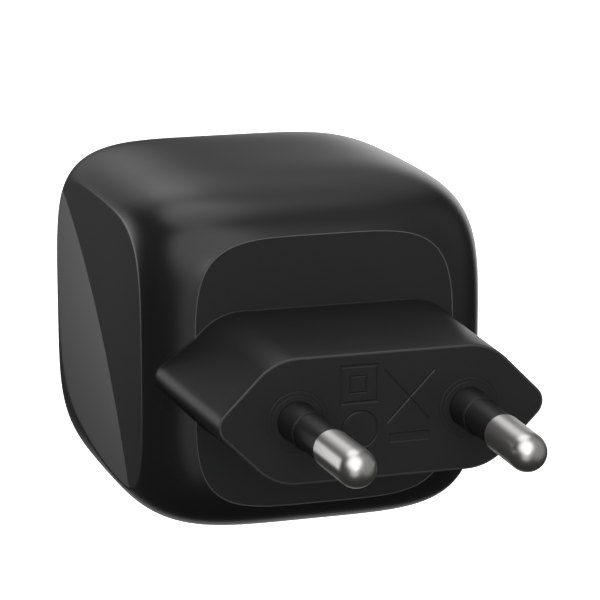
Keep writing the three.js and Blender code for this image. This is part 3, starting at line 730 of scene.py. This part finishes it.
def make_plug_block():
    rings = [
        plug_ring(0, FACE_RIM, FACE_THICKNESS + GAP),
        plug_ring(0, FACE_RIM, TIGHT),
        plug_ring(0, FACE_RIM - TIGHT, 0),
    ]
    for t in np.linspace(0, math.pi / 2, 6):
        rings.append(plug_ring(0, PLUG_EDGE * (1 - math.sin(t)), PLUG_EDGE * (1 - math.cos(t))))
    for share in (0.1, 0.25, 0.4, 0.55, 0.7, 0.82, 0.9, 0.95):
        rings.append(plug_ring(share, 0))
    for t in np.linspace(0, math.pi / 2, 5):
        ring = plug_ring(1, -PLUG_FOOT * (1 - math.cos(t)))
        ring[:, 1] = seat_on_body(ring) - PLUG_FOOT * (1 - math.sin(t))
        rings.append(ring)
    inner = plug_ring(1, PLUG_WALL)
    inner[:, 1] = seat_on_body(inner)
    rings += [inner, plug_ring(0, PLUG_WALL, FACE_THICKNESS + GAP)]
    piece = new_piece("plug_block_surface", loft(rings), "plug_plastic", "plug_block")
    return finish_with(crisp(piece, 40), PLUG)


def outline_rings(outline, steps):
    """Rings of an outline's points, with its size and the Y of each in turn."""
    rings = []
    for size, y in steps:
        points = np.array(outline(size))
        rings.append(np.stack([points[:, 0], np.full(len(points), y), points[:, 1]], -1))
    return rings


def pocket_tool(outline, depth, slope):
    """A closed cutting shape with sloping walls; outline gives its points, shrunk all round."""
    return loft(outline_rings(outline, ((0, -1), (0, 0), (slope, depth))), closed=False)


def groove_tool(outline, outer, width, depth):
    """A closed cutting frame with sloping walls; outline gives the shape's points for a size."""
    slope = min(width * 0.4, depth * 1.2)
    steps = (
        (outer, -1),
        (outer, 0),
        (outer - slope, depth),
        (outer - width + slope, depth),
        (outer - width, 0),
        (outer - width, -1),
    )
    return loft(outline_rings(outline, steps))


def rectangle(x, z, half_width, half_height):
    return [
        (x - half_width, z - half_height),
        (x + half_width, z - half_height),
        (x + half_width, z + half_height),
        (x - half_width, z + half_height),
    ]


def circle(x, z, radius, sides=72):
    return arc(x, z, radius, 0, 360, sides)[:-1]


def slanted_bar(x0, z0, x1, z1, width):
    along = np.array([x1 - x0, z1 - z0]) / math.hypot(x1 - x0, z1 - z0)
    aside = np.array([-along[1], along[0]]) * width / 2
    start, end = np.array([x0, z0]), np.array([x1, z1])
    return [tuple(start - aside), tuple(end - aside), tuple(end + aside), tuple(start + aside)]


# Plain shallow marks between the pins, by the x and z of their middles or ends.
SQUARES = {"outer": ((-2.63, 3.42), 2.08, 0.34), "inner": ((-2.78, 3.4), 0.98, 0.22)}
RING = ((-2.6, -1.38), 2.05, 0.26)
CROSS = (((0.06, 4.71), (4.9, -0.79)), ((0.32, -0.93), (5.5, 4.38)))
CROSS_WIDTH = 0.28
BAR = ((2.84, -2.58), 2.19, 0.52)


def face_marks():
    """Cutting shapes for the marks between the pins and the fine rings round each pin."""
    tools = []
    for centre, half, width in SQUARES.values():
        tools.append(
            groove_tool(lambda size: rectangle(*centre, size, size), half, width, MARK_DEPTH)
        )
    centre, radius, width = RING
    tools.append(groove_tool(lambda size: circle(*centre, size), radius, width, MARK_DEPTH))
    for start, end in CROSS:
        stroke = pocket_tool(
            lambda shrink: slanted_bar(*start, *end, CROSS_WIDTH - 2 * shrink),
            MARK_DEPTH,
            slope=0.12,
        )
        tools.append(stroke)
    centre, half_width, half_height = BAR
    bar = pocket_tool(
        lambda shrink: rectangle(*centre, half_width - shrink, half_height - shrink),
        MARK_DEPTH,
        slope=0.09,
    )
    tools.append(bar)
    for side in (-1, 1):
        x = side * PIN_SPACING / 2
        for radius in RELIEF_RADII:
            tools.append(
                groove_tool(lambda size: circle(x, 0, size), radius, RELIEF_WIDTH, RELIEF_DEPTH)
            )
    return tools


def cut_with(piece, tools):
    """Cuts closed tools out of a piece and keeps the result as its own mesh."""
    for tool in tools:
        mesh = bpy.data.meshes.new("tool")
        tool.to_mesh(mesh)
        tool.free()
        cutter = bpy.data.objects.new("tool", mesh)
        bpy.context.scene.collection.objects.link(cutter)
        modifier = piece.modifiers.new("cut", "BOOLEAN")
        modifier.operation = "DIFFERENCE"
        modifier.solver = "EXACT"
        modifier.object = cutter
        graph = bpy.context.evaluated_depsgraph_get()
        done = bpy.data.meshes.new_from_object(piece.evaluated_get(graph))
        piece.modifiers.clear()
        piece.data = done
        bpy.data.objects.remove(cutter)
    return piece


def make_plug_face():
    rings = [
        plug_ring(0, FACE_RIM + TIGHT, FACE_THICKNESS),
        plug_ring(0, FACE_RIM + TIGHT, FACE_EDGE),
        plug_ring(0, FACE_RIM + TIGHT + FACE_EDGE, 0),
    ]
    piece = new_piece("plug_face_surface", loft(rings, closed=False), "plug_plastic", "plug_face")
    bore = COLLAR_RADIUS + COLLAR_CLEARANCE
    holes = []
    for side in (-1, 1):
        holes.append(loft(at_pin(lathe([(bore, -2), (bore, 5)]), side), closed=False))
    cut_with(piece, holes + face_marks())
    for polygon in piece.data.polygons:
        polygon.use_smooth = True
    return finish_with(crisp(piece, 20), FACE)


def make_pin(label, side):
    """A pin's shaft, round nose and thinner shank; the nose is polished, the rest turned."""
    tip = PIN_REACH / math.cos(PIN_LEAN) - PIN_RADIUS
    shoulder = -SLEEVE_LENGTH - SLEEVE_CLEARANCE
    nose = [
        (PIN_RADIUS * math.sin(t), -tip - PIN_RADIUS * math.cos(t))
        for t in np.linspace(0.03, math.pi / 2, 24)
    ]
    shank = [
        nose[-1],
        (PIN_RADIUS, shoulder),
        (SHANK_RADIUS, shoulder),
        (SHANK_RADIUS, PIN_BACK),
    ]
    profile = nose[:-1] + rounded(shank, PIN_EDGE)
    builder = loft(at_pin(lathe(profile), side), closed=False)
    piece = new_piece(f"pin_{label}_surface", builder, "pin_nickel", f"pin_{label}")
    finish_with(crisp(piece, 35), SHAFT)
    piece.data.materials.append(NOSE)
    polished = (PIN_RADIUS * 0.7 - PIN_REACH) * MM
    for polygon in piece.data.polygons:
        polygon.material_index = int(polygon.center.y < polished)


def make_sleeve(label, side):
    """A pin's insulating sleeve with its thicker collar at the root."""
    bore = SHANK_RADIUS + SHANK_CLEARANCE
    wall = [
        (bore, -SLEEVE_LENGTH),
        (SLEEVE_RADIUS, -SLEEVE_LENGTH),
        (SLEEVE_RADIUS, -COLLAR_LENGTH),
        (COLLAR_RADIUS, -COLLAR_LENGTH),
        (COLLAR_RADIUS, FACE_THICKNESS),
        (bore, FACE_THICKNESS),
    ]
    name = f"pin_sleeve_{label}"
    builder = loft(at_pin(lathe(rounded(wall, SLEEVE_EDGE)), side))
    piece = new_piece(f"{name}_surface", builder, "sleeve_plastic", name)
    finish_with(crisp(piece, 35), SLEEVE)


def make_pins():
    for label, side in (("left", -1), ("right", 1)):
        make_pin(label, side)
        make_sleeve(label, side)


# ------------------------------------------------------------------ port
def make_usb_shell():
    mouth = PORT_Y - PORT_RECESS
    sheet = PORT_SHEET
    outer, inner = port_outline(0), port_outline(-sheet)
    rings = [
        ring_points(outer, mouth - PORT_LENGTH),
        ring_points(outer, mouth - sheet * 0.5),
        ring_points(outer * 0.85 + inner * 0.15, mouth - sheet * 0.15),
        ring_points((outer + inner) / 2, mouth),
        ring_points(outer * 0.15 + inner * 0.85, mouth - sheet * 0.15),
        ring_points(inner, mouth - sheet * 0.5),
        ring_points(inner, mouth - PORT_LENGTH),
    ]
    piece = new_piece("usb_shell_surface", loft(rings), "receptacle_steel", "usb_shell")
    return finish_with(crisp(piece, 60), STEEL)


# ------------------------------------------------------------------ studio
STUDIO_LEVEL = 0.03  # light from all round

# Soft lights round the object: direction towards each, angle from its middle to its edge,
# and brightness. Each fades out smoothly over the outer half of its angle.
SOFTBOXES = {
    "front_left_above": ((-0.38, -0.62, 0.68), 48, 1.45),
    "overhead": ((-0.14, 0.33, 0.93), 29, 1.25),
    "overhead_behind": ((0.1, 0.7, 0.7), 35, 0.3),
    "left_behind": ((-0.6, 0.8, 0.02), 19, 1.6),
    "right_behind": ((0.54, 0.84, -0.02), 20, 1.2),
    "behind_low": ((0.2, 0.82, -0.53), 20, 0.4),
    "left": ((-0.44, -0.87, -0.21), 28, 0.6),
    "front": ((-0.3, -0.93, 0.23), 9, 3),
    "left_behind_small": ((-0.42, 0.88, 0.19), 8, 0.5),
    "behind_above": ((0.02, 0.82, 0.57), 12, 0.5),
    "right": ((0.65, -0.6, 0.46), 72, 0.24),
    "back_fill": ((-0.05, 0.95, 0.3), 20, 0.3),
}


def soft_light(tree, direction, angle, brightness, total):
    """Adds one soft round light to the surroundings and returns the new running total."""
    facing = tree.nodes.new("ShaderNodeVectorMath")
    facing.operation = "DOT_PRODUCT"
    facing.inputs[1].default_value = Vector(direction).normalized()
    fade = tree.nodes.new("ShaderNodeMapRange")
    fade.interpolation_type = "SMOOTHSTEP"
    fade.inputs["From Min"].default_value = math.cos(math.radians(angle))
    fade.inputs["From Max"].default_value = math.cos(math.radians(angle / 2))
    fade.inputs["To Max"].default_value = brightness
    joined = tree.nodes.new("ShaderNodeMath")
    place = tree.nodes.new("ShaderNodeTexCoord")
    tree.links.new(place.outputs["Generated"], facing.inputs[0])
    tree.links.new(facing.outputs["Value"], fade.inputs["Value"])
    tree.links.new(fade.outputs["Result"], joined.inputs[0])
    tree.links.new(total, joined.inputs[1])
    return joined.outputs["Value"]


def make_studio():
    world = bpy.data.worlds.new("studio")
    world.use_nodes = True
    tree = world.node_tree
    level = tree.nodes.new("ShaderNodeValue")
    level.outputs["Value"].default_value = STUDIO_LEVEL
    total = level.outputs["Value"]
    for direction, angle, brightness in SOFTBOXES.values():
        total = soft_light(tree, direction, angle, brightness, total)
    background = tree.nodes["Background"]
    background.inputs["Color"].default_value = (1, 1, 1, 1)
    tree.links.new(total, background.inputs["Strength"])
    bpy.context.scene.world = world
    make_floor()


def make_floor():
    """A plain white floor below the object, curving up into a white backdrop all round."""
    material, _, shader = node_material("pale_floor", (0.95, 0.95, 0.95), 0.9, specular=0.1)
    shader.inputs["Emission Color"].default_value = (1, 1, 1, 1)
    shader.inputs["Emission Strength"].default_value = 1.0
    # In metres: the floor's level, where it starts to curve up, and the wall's reach and height.
    level, flat, curve, reach, height = -0.12, 2.4, 1.6, 4.0, 6.0
    sides = 64
    profile = [(0.01, level), (flat, level)]
    profile += [(x, z + level + curve) for x, z in arc(flat, 0, curve, -90, 0, 16)]
    profile.append((reach, height))
    builder = bmesh.new()
    turn = np.arange(sides) * 2 * math.pi / sides
    rows = [
        [builder.verts.new((r * math.cos(a), r * math.sin(a), z)) for a in turn]
        for r, z in profile
    ]
    for low, high in zip(rows, rows[1:]):
        bridge(builder, high, low)
    builder.faces.new(rows[0])
    mesh = bpy.data.meshes.new("floor")
    builder.to_mesh(mesh)
    builder.free()
    mesh.materials.append(material)
    floor = bpy.data.objects.new("floor", mesh)
    bpy.context.scene.collection.objects.link(floor)
    floor.visible_glossy = False
    floor.visible_diffuse = False
    floor.visible_shadow = False


# ------------------------------------------------------------------ camera
CAMERA_PLACE = (-0.0889, -0.25099, 0.07461)
CAMERA_AZIMUTH = -17.65
CAMERA_ELEVATION = 13.23
CAMERA_LENS = 161.7


def make_camera():
    azimuth, elevation = math.radians(CAMERA_AZIMUTH), math.radians(CAMERA_ELEVATION)
    back = Vector(
        (
            math.sin(azimuth) * math.cos(elevation),
            -math.cos(azimuth) * math.cos(elevation),
            math.sin(elevation),
        )
    )
    data = bpy.data.cameras.new("camera")
    data.sensor_width = 36
    data.lens = CAMERA_LENS
    data.clip_start, data.clip_end = 0.01, 50
    camera = bpy.data.objects.new("camera", data)
    camera.location = CAMERA_PLACE
    camera.rotation_mode = "QUATERNION"
    camera.rotation_quaternion = (-back).to_track_quat("-Z", "Y")
    bpy.context.scene.collection.objects.link(camera)
    bpy.context.scene.camera = camera


make_camera()
make_studio()
dress_inner_nodes()
make_housing()
make_port_cap()
make_rear_cover()
make_plug_block()
make_plug_face()
make_pins()
make_usb_shell()
bpy.context.scene.view_settings.view_transform = "Standard"
